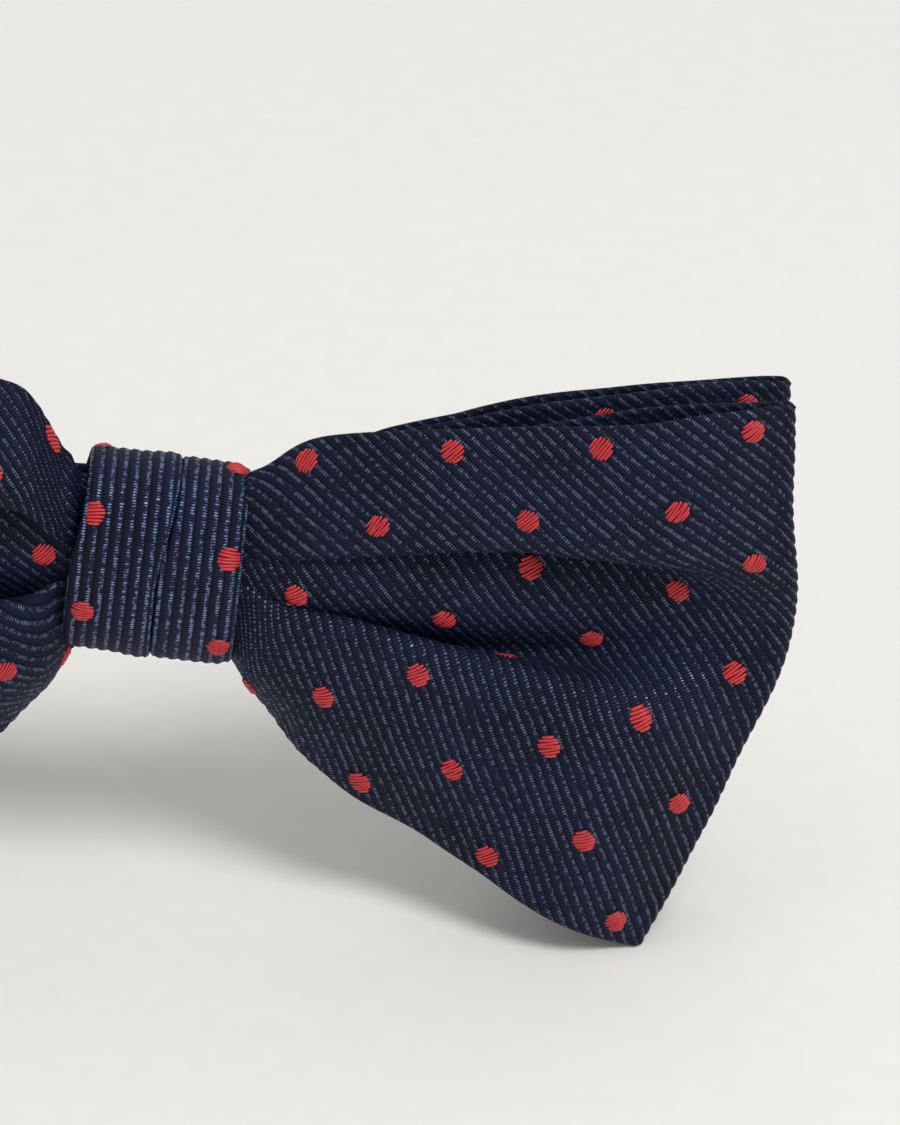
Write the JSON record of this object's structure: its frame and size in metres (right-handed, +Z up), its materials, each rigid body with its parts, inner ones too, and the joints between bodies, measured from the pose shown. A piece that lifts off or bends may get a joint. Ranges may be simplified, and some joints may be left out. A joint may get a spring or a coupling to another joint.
{
  "type": "bow tie",
  "caption": "Ready-tied butterfly bow tie in ribbed dotted silk, with a wrapped knot and an adjustable hooked neckband folded up behind the bow.",
  "frame": {"origin": "centre of the bounding box at floor level, with the bow standing on its two lower wing corners", "axes": "+X across the bow towards the wing on the viewer's right, -Y towards the viewer, +Z up"},
  "size_m": [0.1196, 0.0234, 0.0592],
  "materials": {
    "dotted_silk": "ribbed navy silk with woven red dots",
    "strap_silk": "ribbed navy silk",
    "interlining": "plain brushed wool and cotton",
    "thread": "navy silk thread",
    "nickel_plate": "satin nickel plate"
  },
  "bodies": {
    "bow": {"front_bow_cloth": "dotted_silk", "front_bow_interlining": "interlining", "back_bow_cloth": "dotted_silk", "back_bow_interlining": "interlining", "waist_thread": "thread", "knot_band": "dotted_silk", "knot_interlining": "interlining", "knot_stitches": "thread", "neckband_centre": "strap_silk", "right_fold_1": "strap_silk", "left_fold_1": "strap_silk"},
    "right_run_2": {"right_run_2": "strap_silk", "right_fold_2": "strap_silk"},
    "right_run_3": {"right_run_3": "strap_silk", "right_fold_3": "strap_silk"},
    "right_run_4": {"right_run_4": "strap_silk", "right_eye_loop": "strap_silk", "right_return_run": "strap_silk"},
    "eye": {"eye": "nickel_plate"},
    "slider": {"slider_frame": "nickel_plate", "slider_tab": "strap_silk", "slider_bartack": "thread"},
    "left_run_2": {"left_run_2": "strap_silk", "left_fold_2": "strap_silk"},
    "left_run_3": {"left_run_3": "strap_silk", "left_fold_3": "strap_silk"},
    "left_run_4": {"left_run_4": "strap_silk", "left_hook_loop": "strap_silk", "hook_bartack": "thread"},
    "hook": {"hook": "nickel_plate"}
  },
  "joints": [
    {"name": "right_crease_1", "type": "hinge", "parent": "bow", "child": "right_run_2", "pos_m": [0.056, 0.0016, 0.0363], "axis": [0, 0, -1], "range_deg": [0, 180], "deforming": ["right_fold_1"]},
    {"name": "right_crease_2", "type": "hinge", "parent": "right_run_2", "child": "right_run_3", "pos_m": [0.013, 0.0034, 0.0363], "axis": [0, 0, 1], "range_deg": [0, 180], "deforming": ["right_fold_2"]},
    {"name": "right_crease_3", "type": "hinge", "parent": "right_run_3", "child": "right_run_4", "pos_m": [0.056, 0.0057, 0.0363], "axis": [0, 0, -1], "range_deg": [0, 180], "deforming": ["right_fold_3"]},
    {"name": "left_crease_1", "type": "hinge", "parent": "bow", "child": "left_run_2", "pos_m": [-0.056, 0.0016, 0.0363], "axis": [0, 0, 1], "range_deg": [0, 180], "deforming": ["left_fold_1"]},
    {"name": "left_crease_2", "type": "hinge", "parent": "left_run_2", "child": "left_run_3", "pos_m": [-0.013, 0.0034, 0.0363], "axis": [0, 0, -1], "range_deg": [0, 180], "deforming": ["left_fold_2"]},
    {"name": "left_crease_3", "type": "hinge", "parent": "left_run_3", "child": "left_run_4", "pos_m": [-0.056, 0.0057, 0.0363], "axis": [0, 0, 1], "range_deg": [0, 180], "deforming": ["left_fold_3"]},
    {"name": "eye_pivot", "type": "hinge", "parent": "right_run_4", "child": "eye", "pos_m": [0.0335, 0.00865, 0.0363], "axis": [0, 0, -1], "range_deg": [0, 100]},
    {"name": "hook_pivot", "type": "hinge", "parent": "left_run_4", "child": "hook", "pos_m": [-0.0335, 0.00865, 0.0363], "axis": [0, 0, 1], "range_deg": [0, 100]},
    {"name": "slider_slide", "type": "slide", "parent": "right_run_4", "child": "slider", "axis": [-1, 0, 0], "range_m": [0, 0.007], "deforming": ["right_return_run"]}
  ],
  "couplings": [
    {"joint": "right_crease_2", "follows": "right_crease_1", "ratio": 1},
    {"joint": "right_crease_3", "follows": "right_crease_1", "ratio": 1},
    {"joint": "left_crease_2", "follows": "left_crease_1", "ratio": 1},
    {"joint": "left_crease_3", "follows": "left_crease_1", "ratio": 1}
  ]
}
